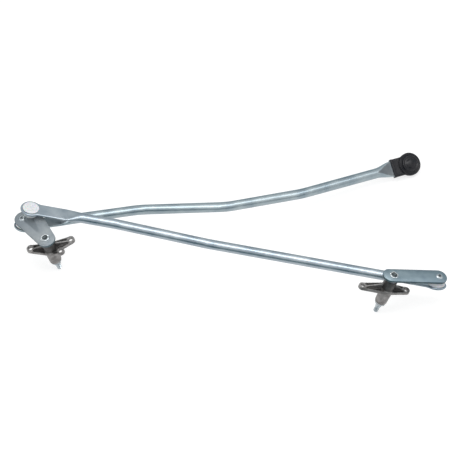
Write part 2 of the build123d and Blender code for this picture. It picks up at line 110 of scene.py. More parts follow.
# Cranks, in millimetres and degrees about the shaft
LEFT_DRIVE_STUD = (46.2, 128.1)
LEFT_LINK_STUD = (41.9, 111.2)
RIGHT_STUD = (63.1, 17.6)

# Ball studs and sockets, in millimetres
BALL_RADIUS = 6.5
BALL_HEIGHT = 7.9
BALL_TOP_FLAT = 6.0
NECK_RADIUS = 3.2
NECK_FLARE = 0.3
NECK_FLARE_LOW = 1.3
NECK_FLARE_HIGH = 1.7
COLLAR_RADIUS = 4.5
COLLAR_HEIGHT = 0.8
COLLAR_EDGE_BREAK = 0.2
STUD_RIVET_RADIUS = 3.25
STUD_HEAD_RADIUS = 4.3
STUD_HEAD_FLAT_RADIUS = 2.9
STUD_SIDES = 72
STUD_STAKE_RADIUS = 2.4
STUD_STAKE_DEPTH = 0.8
SOCKET_ROOM_RADIUS = 6.56
SOCKET_MOUTH_DEPTH = 3.4
SOCKET_SKIRT_DEPTH = 4.0
SOCKET_SKIRT_RADIUS = 8.9
SOCKET_MOUTH_RADIUS = 6.5
SOCKET_BARB_RADIUS = 9.9
SOCKET_LIP_RADIUS = 11.0
SOCKET_BARREL_RADIUS = 9.2
SOCKET_CAP_RADIUS = 10.3
SOCKET_CAP_HEIGHT = 1.2
SOCKET_CAP_ROUND = 0.9
SOCKET_CROWN_RADIUS = 7.6
SOCKET_CROWN_HEIGHT = 1.0
SOCKET_CROWN_SHOULDER = 1.1
SOCKET_CROWN_ROUND = 0.6
SOCKET_EDGE_BREAK = 0.25
SOCKET_SIDES = 96

# Radius and depth pairs from the axis out: the stake in a stud's head, and the dimple and ring in a cap
STUD_STAKE = [(0, 0.5), (0.8, 0.5), (1.1, 1.2), (1.8, 1.2), (2.2, 0), (2.8, 0)]
CAP_MARKS = [(0, 0.6), (0.9, 0.6), (1.1, 0.1), (1.3, 0), (4.0, 0), (4.2, 0.4), (4.9, 0.4), (5.1, 0)]

# Links: half-inch tube with pressed-flat ends, in millimetres and degrees
TUBE_RADIUS = 6.35
FLAT_THICKNESS = 3.0
FLAT_HALF_WIDTH = pi * TUBE_RADIUS / 2
FLAT_EDGE_ROUND = 1.4
NECK_BLEND = 14.0
PRESS_LENGTH = 20.0
PRESS_STEPS = 16
PRESS_SOFTNESS = 0.6
TUBE_SIDES = 64
TUBE_BEND_STEP = 3.0
EYE_SIDES = 72
EYE_OFFSET = 3.6
# How far the painted shade on a pressed face reaches down its rounded edges, which end with the flat, and a
# small margin
PRESSED_EDGE_DROP = 0.3
PRESSED_FACE_MARGIN = 0.02

# Each link's route: its length, corners, flats and eyes, and how far its far end is turned about the tube
CONNECTING_LINK = {
    "length": 516.2, "bends": [(110.0, 1.6), (225.0, -3.2)], "bend_radius": 120.0,
    "flats": (46.0, 46.0), "eyes": (13.2, 13.2), "twist": -16.0,
}
DRIVE_LINK = {
    "length": 506.7, "bends": [(149.6, -4.9), (258.0, -27.4), (357.4, -24.8)], "bend_radius": 90.0,
    "flats": (46.0, 26.0), "eyes": (13.2, 12.2), "twist": 45.0,
}

# The grid that a rounded shape is drawn on, in millimetres, and how often it is smoothed
HOUSING_VOXEL = 0.4
HOUSING_SMOOTHING = 3
BOOT_VOXEL = 0.35
BOOT_SMOOTHING = 4

# The boot, in millimetres in its socket's frame. The crown is radius and height pairs from the axis out and
# back. The groove round the crown and the seam beside the collar are each a radius, half a width and a depth
BOOT_CROWN = [
    (0, 3.9), (7.6, 3.9), (9.6, 3.2), (10.6, 3.0), (10.6, 4.9), (10.0, 5.6), (9.0, 5.7),
    (8.3, 5.2), (7.6, 4.4), (6.9, 4.6), (6.2, 5.6), (4.6, 6.5), (2.4, 6.9), (0, 7.0),
]
BOOT_CROWN_SIDES = 72
BOOT_GROOVE = (11.7, 0.9, 0.7)
BOOT_SEAM = (14.7, 1.1, 1.4)
BOOT_SEAM_START = 6.0
BOOT_TOP_LOW = 1.8

# The photograph's view: looking down at this angle, 1.25 mm to a pixel of its 460
CAMERA_ELEVATION = 42.0
CAMERA_DISTANCE = 3.0
PHOTO_WIDTH = 0.575
PHOTO_CENTRE_X = 0.21275
PHOTO_CENTRE_UP = 0.04782
CAMERA_CLIP = 20.0

# Cast aluminium's colours, and the share of them that is left where shade is painted
CAST_BASE = (0.22, 0.21, 0.205)
CAST_DEEP = (0.12, 0.112, 0.11)
CAST_PALE = (0.31, 0.30, 0.295)
CAST_BRIGHT = (0.42, 0.41, 0.40)
PAINTED_SHADE_LEVEL = 0.3

# The light: the levels of the room and the bench, and the lamp's place, target, size and power
ROOM_LIGHT = 0.68
BENCH_GLOW = 0.74
BENCH_PAPER = 0.4
BENCH_HALF_WIDTH = 3.0
SOFTBOX_PLACE = (0.2, -0.32, 1.35)
SOFTBOX_TARGET = (0.2, 0.0, 0.0)
SOFTBOX_SIZE = (1.6, 0.7)
SOFTBOX_POWER = 6.5

# What the metal's gloss sees round the bench: name, place, turn about X, size, colour and strength
DARK_CARD = (0.16, 0.27, 0.30)
PALE_CARD = (0.52, 0.60, 0.63)
WHITE = (1, 1, 1)
REFLECTION_CARDS = [
    ("front_card", (0.2, -0.62, 0.001), 0, (3.0, 0.96), DARK_CARD, 1.0),
    ("front_wall", (0.2, -1.1, 0.15), 90, (3.0, 0.3), DARK_CARD, 1.0),
    ("back_wall", (0.2, 1.5, 0.65), 90, (6.0, 1.3), PALE_CARD, 1.0),
    ("left_highlight", (0.1, -0.32, 1.3), 0, (1.3, 0.36), WHITE, 5.0),
    ("right_highlight", (1.15, -0.06, 1.3), 0, (0.8, 0.5), WHITE, 3.2),
]


def turned(angle, axis):
    return Matrix.Rotation(radians(angle), 4, axis)


def moved(x, y, z):
    return Matrix.Translation((x, y, z))


def moved_mm(x, y, z):
    return Matrix.Translation((x * MM, y * MM, z * MM))


# The camera and the light


def photo_camera():
    """A camera without perspective at the photograph's angle."""
    up = Vector((0, sin(radians(CAMERA_ELEVATION)), cos(radians(CAMERA_ELEVATION))))
    towards = Vector((0, -cos(radians(CAMERA_ELEVATION)), sin(radians(CAMERA_ELEVATION))))
    data = bpy.data.cameras.new("photo_camera")
    data.type = "ORTHO"
    data.ortho_scale = PHOTO_WIDTH
    data.clip_end = CAMERA_CLIP
    camera = bpy.data.objects.new("photo_camera", data)
    camera.location = Vector((PHOTO_CENTRE_X, 0, 0)) + up * PHOTO_CENTRE_UP + towards * CAMERA_DISTANCE
    camera.rotation_euler = (radians(90 - CAMERA_ELEVATION), 0, 0)
    bpy.context.scene.collection.objects.link(camera)
    bpy.context.scene.camera = camera


def overhead_softbox():
    """A wide soft lamp above the bench, a little to the front."""
    data = bpy.data.lights.new("overhead_softbox", "AREA")
    data.shape = "RECTANGLE"
    data.size, data.size_y = SOFTBOX_SIZE
    data.energy = SOFTBOX_POWER
    lamp = bpy.data.objects.new("overhead_softbox", data)
    lamp.location = SOFTBOX_PLACE
    lamp.rotation_euler = (Vector(SOFTBOX_TARGET) - Vector(SOFTBOX_PLACE)).to_track_quat("-Z", "Y").to_euler()
    bpy.context.scene.collection.objects.link(lamp)


# Finishes


class Reading:
    """A socket's value, with arithmetic that adds the nodes for it."""

    def __init__(self, maker, socket):
        self.maker = maker
        self.socket = socket

    def worked_out(self, operation, other):
        node = self.maker.node("ShaderNodeMath", {"operation": operation}, {0: self, 1: other})
        return Reading(self.maker, node.outputs[0])

    def __add__(self, other):
        return self.worked_out("ADD", other)

    __radd__ = __add__

    def __mul__(self, other):
        return self.worked_out("MULTIPLY", other)

    __rmul__ = __mul__


class NodeMaker:
    """Adds nodes and links to the tree of a material or of the world."""

    def __init__(self, tree):
        self.tree = tree

    def node(self, kind, settings=None, inputs=None):
        """A node with its settings, which are set first, and the values or readings of its sockets."""
        made = self.tree.nodes.new(kind)
        for key, value in (settings or {}).items():
            setattr(made, key, value)
        for key, value in (inputs or {}).items():
            if isinstance(value, Reading):
                self.tree.links.new(value.socket, made.inputs[key])
            else:
                made.inputs[key].default_value = value
        return made

    def between(self, value, low, high, to_low=0.0, to_high=1.0):
        """A value's way from low to high, kept inside the second pair."""
        node = self.node("ShaderNodeMapRange", {"clamp": True}, {
            "Value": value, "From Min": low, "From Max": high, "To Min": to_low, "To Max": to_high,
        })
        return Reading(self, node.outputs[0])

    def looked_at(self):
        """1 where the camera, a reflection or glass looks, and 0 for the light on other surfaces."""
        rays = self.node("ShaderNodeLightPath")
        camera, glass, gloss = [
            Reading(self, rays.outputs[name])
            for name in ("Is Camera Ray", "Is Transmission Ray", "Is Glossy Ray")
        ]
        return camera + glass + gloss


class Finish(NodeMaker):
    """A surface finish on its way to being a material."""

    def __init__(self, name, base_color, metallic, roughness, **fixed):
        self.material = bpy.data.materials.new(name)
        self.material.use_nodes = True
        super().__init__(self.material.node_tree)
        self.shader = self.tree.nodes["Principled BSDF"]
        self.shader.inputs["Base Color"].default_value = (*base_color, 1)
        self.shader.inputs["Metallic"].default_value = metallic
        self.shader.inputs["Roughness"].default_value = roughness
        for socket, value in fixed.items():
            self.shader.inputs[socket.replace("_", " ")].default_value = value
        self.place = Reading(self, self.node("ShaderNodeTexCoord").outputs["Object"])

    def feed(self, socket, value):
        self.tree.links.new(value.socket, self.shader.inputs[socket])

    def turned_place(self, heading, slope, stretch=(1, 1, 1)):
        """Object coordinates turned to run along a piece, stretched along it."""
        node = self.node("ShaderNodeMapping", {"vector_type": "TEXTURE"}, {
            "Vector": self.place,
            "Rotation": (0, radians(slope), radians(heading)),
            "Scale": stretch,
        })
        return Reading(self, node.outputs[0])

    def noise(self, size, detail=2.0, rough=0.5, place=None):
        """Soft noise whose patches are about this many millimetres across."""
        node = self.node("ShaderNodeTexNoise", {"noise_dimensions": "3D"}, {
            "Vector": place or self.place, "Scale": 1 / (size * MM), "Detail": detail, "Roughness": rough,
        })
        return Reading(self, node.outputs[0])

    def cells(self, size):
        """How far the nearest of many scattered points is."""
        node = self.node("ShaderNodeTexVoronoi", {"feature": "F1"}, {
            "Vector": self.place, "Scale": 1 / (size * MM),
        })
        return Reading(self, node.outputs["Distance"])

    def mixed(self, share, first, second):
        """A colour a share of the way from the first to the second."""
        node = self.node("ShaderNodeMix", {"data_type": "RGBA"}, {
            0: share,
            6: (*first, 1) if isinstance(first, tuple) else first,
            7: (*second, 1) if isinstance(second, tuple) else second,
        })
        return Reading(self, node.outputs[2])

    def bump(self, height, depth, strength):
        """Relief from a height between 0 and 1, its depth in millimetres."""
        node = self.node("ShaderNodeBump", None, {
            "Strength": strength, "Distance": depth * MM, "Height": height,
        })
        self.feed("Normal", Reading(self, node.outputs[0]))


def zinc_plate(name, base_color, roughness, heading=0, slope=0, stretch=1.0, metallic=1.0):
    """Bright zinc with a faint blue cast, cloudy patches, and fine marks drawn out along a piece."""
    zinc = Finish(name, base_color, metallic, roughness)
    along = zinc.turned_place(heading, slope, (stretch, 1, 1))
    marks = zinc.noise(0.5, 3.0, 0.6, along)
    clouds = zinc.noise(22.0, 3.0, 0.55)
    spots = zinc.noise(1.6, 2.0, 0.6)
    pale = tuple(min(1.0, c * 1.16) for c in base_color)
    deep = (base_color[0] * 0.78, base_color[1] * 0.83, base_color[2] * 0.88)
    tone = zinc.mixed(zinc.between(clouds, 0.36, 0.66), deep, pale)
    tone = zinc.mixed(zinc.between(spots, 0.62, 0.74) * 0.25, tone, deep)
    zinc.feed("Base Color", tone)
    zinc.feed("Roughness", zinc.between(clouds, 0.3, 0.7, roughness - 0.05, roughness + 0.07) + marks * 0.06)
    zinc.bump(marks + spots * 0.5, 0.02, 0.5)
    return zinc.material


def cast_aluminium(name, level):
    """Die-cast aluminium with a fine grain, small pits and stains, darker at a lower level, which paints
    shade.
    """
    base, deep, pale, bright = [
        tuple(level * share for share in tone) for tone in (CAST_BASE, CAST_DEEP, CAST_PALE, CAST_BRIGHT)
    ]
    alloy = Finish(name, base, 0.75, 0.5)
    grain = alloy.noise(0.7, 4.0, 0.65)
    stains = alloy.noise(9.0, 4.0, 0.6)
    pits = alloy.between(alloy.cells(1.7), 0.08, 0.22)
    tone = alloy.mixed(alloy.between(stains, 0.35, 0.65), deep, pale)
    tone = alloy.mixed(alloy.between(grain, 0.35, 0.7) * 0.3, tone, bright)
    alloy.feed("Base Color", tone)
    alloy.feed("Roughness", alloy.between(grain, 0.3, 0.7, 0.34, 0.52))
    alloy.bump(grain * 0.8 + pits * 0.35, 0.14, 0.7)
    return alloy.material


def white_nylon():
    """Moulded nylon, satin, with a slight mottle."""
    nylon = Finish(
        "white_nylon", (0.82, 0.84, 0.86), 0.0, 0.42, Subsurface_Weight=0.15, Subsurface_Scale=0.002,
    )
    mottle = nylon.noise(5.0, 3.0, 0.55)
    grain = nylon.noise(0.5, 2.0, 0.5)
    tone = nylon.mixed(nylon.between(mottle, 0.35, 0.65), (0.79, 0.815, 0.84), (0.85, 0.865, 0.885))
    nylon.feed("Base Color", tone)
    nylon.feed("Roughness", nylon.between(grain, 0.3, 0.7, 0.36, 0.48))
    nylon.bump(grain + mottle, 0.03, 0.5)
    return nylon.material


def black_rubber():
    """Moulded rubber: nearly black, satin, with a fine grain and a dusty bloom."""
    rubber = Finish("black_rubber", (0.010, 0.011, 0.016), 0.0, 0.3, Specular_IOR_Level=0.32)
    grain = rubber.noise(0.45, 3.0, 0.6)
    bloom = rubber.noise(7.0, 4.0, 0.6)
    dust = rubber.between(bloom, 0.45, 0.75) * 0.6
    rubber.feed("Base Color", rubber.mixed(dust, (0.003, 0.004, 0.008), (0.026, 0.024, 0.025)))
    rubber.feed("Roughness", rubber.between(bloom, 0.3, 0.7, 0.22, 0.34))
    rubber.bump(grain + bloom * 0.6, 0.05, 0.6)
    return rubber.material


def sintered_bronze():
    """Sintered bronze with open pores, dark with oil."""
    bronze = Finish("sintered_bronze", (0.42, 0.29, 0.15), 1.0, 0.4)
    pores = bronze.between(bronze.cells(0.35), 0.1, 0.3)
    bronze.feed("Base Color", bronze.mixed(pores, (0.10, 0.07, 0.04), (0.46, 0.32, 0.17)))
    bronze.feed("Roughness", bronze.between(bronze.noise(2.0), 0.3, 0.7, 0.3, 0.5))
    bronze.bump(pores, 0.04, 0.6)
    return bronze.material


def spring_steel():
    """Oiled black spring steel."""
    steel = Finish("spring_steel", (0.11, 0.11, 0.115), 1.0, 0.38)
    blotches = steel.noise(1.5, 3.0, 0.6)
    tone = steel.mixed(steel.between(blotches, 0.35, 0.65), (0.07, 0.07, 0.075), (0.16, 0.155, 0.15))
    steel.feed("Base Color", tone)
    steel.feed("Roughness", steel.between(blotches, 0.3, 0.7, 0.3, 0.48))
    steel.bump(steel.noise(0.3), 0.02, 0.4)
    return steel.material


# Pieces


def mesh_object(name, bm):
    """An object in the scene from a finished shape."""
    mesh = bpy.data.meshes.new(name)
    bm.to_mesh(mesh)
    bm.free()
    made = bpy.data.objects.new(name, mesh)
    bpy.context.scene.collection.objects.link(made)
    return made


def new_piece(name, bm, finish, body, replaced, sharp=True):
    """A piece of the linkage that takes the place of one of the solids."""
    bmesh.ops.recalc_face_normals(bm, faces=bm.faces)
    for face in bm.faces:
        face.smooth = True
    piece = mesh_object(name, bm)
    piece.data.materials.append(finish)
    if sharp:
        piece.data.set_sharp_from_angle(angle=radians(SHARP_ANGLE))
    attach(piece, body)
    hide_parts(replaced)
    return piece


def solid_copy(node):
    """A merged copy of one of the solids."""
    bm = bmesh.new()
    bm.from_mesh(frame["nodes"][node].data)
    bmesh.ops.remove_doubles(bm, verts=bm.verts, dist=MERGE_M)
    return bm


def second_finish(piece, finish, place, chosen):
    """Another finish for the faces chosen by reach and height about an axis, and by how far up they face."""
    if finish.name not in piece.data.materials:
        piece.data.materials.append(finish)
    index = piece.data.materials.find(finish.name)
    into_axis = place.inverted()
    for polygon in piece.data.polygons:
        spot = into_axis @ polygon.center / MM
        facing = into_axis.to_3x3() @ polygon.normal
        if chosen(hypot(spot.x, spot.y), spot.z, facing.z):
            polygon.material_index = index


def spin_profile(points, segments):
    """A turned shape about Z from radius and height pairs that start and end on the axis."""
    bm = bmesh.new()
    corners = [bm.verts.new((radius, 0, height)) for radius, height in points]
    edges = [bm.edges.new(pair) for pair in zip(corners, corners[1:])]
    bmesh.ops.spin(
        bm, geom=corners + edges, axis=(0, 0, 1), cent=(0, 0, 0), angle=2 * pi,
        steps=segments, use_merge=True, use_duplicate=False,
    )
    bmesh.ops.remove_doubles(bm, verts=bm.verts, dist=MERGE_MM)
    return bm


def arc(centre_x, centre_y, radius, start, end, steps):
    """Points along an arc, its angles in degrees from the first axis to the second."""
    points = []
    for step in range(steps + 1):
        angle = radians(start + (end - start) * step / steps)
        points.append((centre_x + radius * cos(angle), centre_y + radius * sin(angle)))
    return points


def join(bm, other):
    """Moves another shape's faces into this one."""
    carrier = bpy.data.meshes.new("carrier")
    other.to_mesh(carrier)
    other.free()
    bm.from_mesh(carrier)
    bpy.data.meshes.remove(carrier)


def placed(bm, matrix):
    """Turns millimetres in a piece's own frame into metres in the shared one."""
    bmesh.ops.transform(bm, matrix=matrix @ Matrix.Scale(MM, 4), verts=bm.verts)
    return bm


def pivot_frame(joint):
    """A frame at a shaft's tip whose Z leans from upright to the shaft's axis, without turning about it."""
    lean = Vector((0, 0, 1)).rotation_difference(Vector(joint["axis"]))
    return Matrix.Translation(joint["pos_m"]) @ lean.to_matrix().to_4x4()


def link_frame(joint, heading, offset):
    """A link's frame from its joint: X along the link, Z along the joint's axis."""
    level = turned(-heading, "Z") @ Vector(joint["axis"])
    slope = atan2(level.x, level.z)
    roll = -asin(level.y)
    lie = turned(heading, "Z") @ Matrix.Rotation(slope, 4, "Y") @ Matrix.Rotation(roll, 4, "X")
    return Matrix.Translation(joint["pos_m"]) @ lie @ moved_mm(0, 0, offset)


def link_ends(link):
    """The frames of a link's two eyes in the link's own frame, each with X along the tube."""
    first_x, first_y = link["bends"][0]
    last_x, last_y = link["bends"][-1]
    near = Matrix.Rotation(atan2(first_y, first_x), 4, "Z")
    far = moved_mm(link["length"], 0, 0)
    far = far @ Matrix.Rotation(atan2(-last_y, link["length"] - last_x), 4, "Z")
    return near, far @ turned(link["twist"], "X") @ turned(180, "Z")


def on_crank(side, stud, height):
    """The place of a stud on a crank, at a height above the shaft's tip."""
    radius, heading = stud
    return pivots[side] @ moved_mm(radius * cos(radians(heading)), radius * sin(radians(heading)), height)


pivots = {side: pivot_frame(joints[f"{side}_shaft_turn"]) for side in SIDES}
connecting_frame = link_frame(joints["connecting_link_swing"], CONNECTING_LINK_HEADING, EYE_OFFSET)
drive_frame = link_frame(joints["drive_link_swing"], DRIVE_LINK_HEADING, -EYE_OFFSET)
connecting_near, connecting_far = link_ends(CONNECTING_LINK)
drive_near, motor_far = link_ends(DRIVE_LINK)
upside_down = turned(180, "X")


# Cranks


def crank_plate(side):
    """A crank's pressed plate as in the solids, in its side's painted tone, with painted shade on its sheared
    edges.
    """
    piece = new_piece(
        f"{side}_crank_pressing", solid_copy(f"{side}_crank_arm"), finishes[f"{side}_plate"], f"{side}_crank",
        f"{side}_crank_arm",
    )
    # Painted shade on the plate's side faces
    second_finish(piece, finishes["painted_shade_sheared"], pivots[side], lambda reach, height, up: abs(up) < FACING)


# Shafts


def punch_marks(bm, recess, count, heading):
    """Presses even marks down into the ring of a swaged shaft head."""
    for vert in bm.verts:
        reach = hypot(vert.co.x, vert.co.y)
        if vert.co.z > SHAFT_LENGTH + 0.4 and recess - RECESS_LIP < reach < SHAFT_HEAD_RADIUS:
            angle = atan2(vert.co.y, vert.co.x) - radians(heading)
            nearness = max(0.0, cos(count * angle))
            vert.co.z -= PUNCH_DEPTH * nearness ** 6


def thread(bm):
    """A helical thread from the tip up, cut square at both ends and chamfered at the tip."""
    core = THREAD_RADIUS - THREAD_DEPTH
    turns = round(THREAD_LENGTH / THREAD_PITCH) + 2
    tooth = [(core, share) for share in THREAD_ROOT_SHARES]
    tooth += [(THREAD_RADIUS, share) for share in THREAD_CREST_SHARES]
    tooth += [(core, share) for share in THREAD_NEXT_ROOT_SHARES]
    corners = [bm.verts.new((radius, 0, (share - 1) * THREAD_PITCH)) for radius, share in tooth]
    edges = [bm.edges.new(pair) for pair in zip(corners, corners[1:])]
    bmesh.ops.spin(
        bm, geom=corners + edges, axis=(0, 0, 1), cent=(0, 0, 0), angle=2 * pi * turns,
        dvec=(0, 0, THREAD_PITCH / THREAD_STEPS), steps=THREAD_STEPS * turns,
        use_merge=False, use_duplicate=False,
    )
    bmesh.ops.remove_doubles(bm, verts=bm.verts, dist=10 * MERGE_MM)
    for height, outward in ((0.0, -1), (THREAD_LENGTH, 1)):
        bmesh.ops.bisect_plane(
            bm, geom=bm.verts[:] + bm.edges[:] + bm.faces[:], dist=MERGE_MM,
            plane_co=(0, 0, height), plane_no=(0, 0, outward), clear_outer=True,
        )
    open_edges = [edge for edge in bm.edges if edge.is_boundary]
    bmesh.ops.holes_fill(bm, edges=open_edges, sides=0)
    for vert in bm.verts:
        reach = hypot(vert.co.x, vert.co.y)
        most = THREAD_RADIUS - TIP_CHAMFER + vert.co.z
        if vert.co.z < TIP_CHAMFER and reach > most:
            vert.co.x *= most / reach
            vert.co.y *= most / reach


def serrations(bm):
    """The fluted cone that the wiper arm seats on."""
    middle = THREAD_LENGTH + SERRATION_LENGTH / 2
    cone = bmesh.ops.create_cone(
        bm, cap_ends=True, segments=4 * SERRATION_COUNT, radius1=SERRATION_SMALL_RADIUS,
        radius2=SERRATION_LARGE_RADIUS, depth=SERRATION_LENGTH, matrix=moved(0, 0, middle),
    )
    for vert in cone["verts"]:
        angle = atan2(vert.co.y, vert.co.x)
        reach = hypot(vert.co.x, vert.co.y)
        share = 1 - SERRATION_DEPTH / reach * (0.5 - 0.5 * cos(SERRATION_COUNT * angle))
        vert.co.x *= share
        vert.co.y *= share


def shaft_body(recess):
    """The plain shaft from the serrations to its swaged head, with a recess in the head."""
    low = THREAD_LENGTH + SERRATION_LENGTH
    shoulder_top = SHAFT_LENGTH - CRANK_THICKNESS
    shoulder_low = shoulder_top - SHOULDER_THICKNESS
    head_top = SHAFT_LENGTH + HEAD_HEIGHT
    recess_floor = SHAFT_LENGTH - RECESS_DEPTH
    return spin_profile([
        (0, low),
        (SHAFT_RADIUS - SHAFT_EDGE_BREAK, low),
        (SHAFT_RADIUS, low + SHAFT_EDGE_BREAK),
        (SHAFT_RADIUS, CIRCLIP_GROOVE_LOW),
        (CIRCLIP_GROOVE_RADIUS, CIRCLIP_GROOVE_LOW),
        (CIRCLIP_GROOVE_RADIUS, CIRCLIP_GROOVE_HIGH),
        (SHAFT_RADIUS, CIRCLIP_GROOVE_HIGH),
        (SHAFT_RADIUS, shoulder_low),
        (SHOULDER_RADIUS - SHOULDER_EDGE_BREAK, shoulder_low),
        (SHOULDER_RADIUS, shoulder_low + SHOULDER_EDGE_BREAK),
        (SHOULDER_RADIUS, shoulder_top),
        (SHAFT_RIVET_RADIUS, shoulder_top),
        (SHAFT_RIVET_RADIUS, SHAFT_LENGTH),
        (SHAFT_HEAD_RADIUS, SHAFT_LENGTH),
        *arc(SHAFT_HEAD_RADIUS - SHAFT_HEAD_ROUND, SHAFT_LENGTH, HEAD_HEIGHT, 25, 90, 5),
        *arc(recess + RECESS_LIP, head_top - RECESS_LIP, RECESS_LIP, 90, 170, 4),
        # the recess's floor, with a raised ring and a dimple in its middle
        (recess - 0.35, recess_floor + 0.2),
        (recess - 0.7, recess_floor),
        (recess * 0.55, recess_floor),
        (recess * 0.4, SHAFT_LENGTH + 0.1),
        (recess * 0.2, SHAFT_LENGTH + 0.2),
        (0, SHAFT_LENGTH - 0.3),
    ], SHAFT_SIDES)


def wiper_shaft(side):
    """A wiper shaft with its thread and serrations, and painted shade in the recess of its head."""
    recess, punches, heading = PUNCHED_HEADS[side]
    bm = shaft_body(recess)
    punch_marks(bm, recess, punches, heading)
    end = bmesh.new()
    thread(end)
    serrations(end)
    join(bm, end)
    placed(bm, pivots[side])
    piece = new_piece(
        f"{side}_shaft_turned", bm, finishes["turned_steel"], f"{side}_crank", f"{side}_shaft",
    )
    # Painted shade in the recess of the swaged head
    second_finish(
        piece, finishes["painted_shade_staked"], pivots[side],
        lambda reach, height, up: height > SHAFT_LENGTH - 1 and reach < recess + 0.2,
    )


# Ball joints


def ball_stud(node, place, body):
    """A riveted stud, its ball up the Z axis and its staked head on the crank's other side."""
    head = -CRANK_THICKNESS - HEAD_HEIGHT
    neck_top = BALL_HEIGHT - sqrt(BALL_RADIUS**2 - NECK_RADIUS**2)
    neck_angle = degrees(asin(NECK_RADIUS / BALL_RADIUS)) - 90
    flat_angle = degrees(asin(BALL_TOP_FLAT / BALL_RADIUS))
    head_round = arc(STUD_HEAD_FLAT_RADIUS, 0, HEAD_HEIGHT, 80, 45, 3)
    bm = spin_profile([
        *[(radius, head + depth) for radius, depth in STUD_STAKE],
        *[(radius, -CRANK_THICKNESS - height) for radius, height in head_round],
        (STUD_HEAD_RADIUS, -CRANK_THICKNESS),
        (STUD_RIVET_RADIUS, -CRANK_THICKNESS),
        (STUD_RIVET_RADIUS, 0),
        (COLLAR_RADIUS, 0),
        (COLLAR_RADIUS, COLLAR_HEIGHT - COLLAR_EDGE_BREAK),
        (COLLAR_RADIUS - COLLAR_EDGE_BREAK, COLLAR_HEIGHT),
        (NECK_RADIUS + NECK_FLARE, COLLAR_HEIGHT + NECK_FLARE_LOW),
        (NECK_RADIUS, COLLAR_HEIGHT + NECK_FLARE_HIGH),
        (NECK_RADIUS, neck_top),
        *arc(0, BALL_HEIGHT, BALL_RADIUS, neck_angle, flat_angle, 18)[1:],
        (0, BALL_HEIGHT + BALL_TOP_FLAT),
    ], STUD_SIDES)
    placed(bm, place)
    piece = new_piece(f"{node}_turned", bm, finishes["turned_steel"], body, node)
    # Painted shade in the stake in the stud's head
    second_finish(
        piece, finishes["painted_shade_staked"], place,
        lambda reach, height, up: height < head + STUD_STAKE_DEPTH and reach < STUD_STAKE_RADIUS,
    )


def ball_socket(name, place, body, node, barb):
    """A snap-in socket with its skirt below the eye, its barb, and a stepped cap."""
    plate_low = EYE_OFFSET - FLAT_THICKNESS / 2
    plate_top = EYE_OFFSET + FLAT_THICKNESS / 2
    cap_rim = plate_top + SOCKET_CAP_HEIGHT
    crown = cap_rim + SOCKET_CROWN_HEIGHT
    mouth_angle = -degrees(asin(SOCKET_MOUTH_DEPTH / SOCKET_ROOM_RADIUS))
    shoulder = SOCKET_CROWN_RADIUS - SOCKET_CROWN_SHOULDER
    bm = spin_profile([
        *[(radius, crown - depth) for radius, depth in CAP_MARKS],
        (shoulder, crown),
        *arc(shoulder, crown - SOCKET_CROWN_ROUND, SOCKET_CROWN_ROUND, 75, 15, 4),
        (SOCKET_CROWN_RADIUS - SOCKET_EDGE_BREAK, cap_rim + 0.15),
        (SOCKET_CROWN_RADIUS, cap_rim),
        *arc(SOCKET_CAP_RADIUS - SOCKET_CAP_ROUND, cap_rim - SOCKET_CAP_ROUND, SOCKET_CAP_ROUND, 88, 0, 6),
        (SOCKET_CAP_RADIUS, plate_top + SOCKET_EDGE_BREAK),
        (SOCKET_CAP_RADIUS - SOCKET_EDGE_BREAK, plate_top),
        (SOCKET_BARREL_RADIUS, plate_top),
        (SOCKET_BARREL_RADIUS, plate_low),
        (barb - 0.15, plate_low),
        (barb, plate_low - 0.2),
        (SOCKET_SKIRT_RADIUS + 0.1, 0.3 - SOCKET_SKIRT_DEPTH),
        (SOCKET_SKIRT_RADIUS - SOCKET_EDGE_BREAK, -SOCKET_SKIRT_DEPTH),
        (SOCKET_MOUTH_RADIUS + 0.1, -SOCKET_SKIRT_DEPTH),
        *arc(0, 0, SOCKET_ROOM_RADIUS, mouth_angle, 86, 16),
        (0, SOCKET_ROOM_RADIUS),
    ], SOCKET_SIDES)
    placed(bm, place)
    new_piece(name, bm, finishes["white_nylon"], body, node)


# Links


def at_hem(edge, reach):
    """Whether an edge lies round the outside of a flat end, apart from where the tube begins."""
    first, second = [vert.co for vert in edge.verts]
    level = abs(first.z - second.z) < MERGE_M
    outside = min(hypot(first.x, first.y), hypot(second.x, second.y)) > SOCKET_BARREL_RADIUS + 0.5
    at_tube = min(first.x, second.x) > reach - MERGE_MM
    steep = len(edge.link_faces) == 2 and edge.calc_face_angle(0) > 1.0
    return level and outside and steep and not at_tube


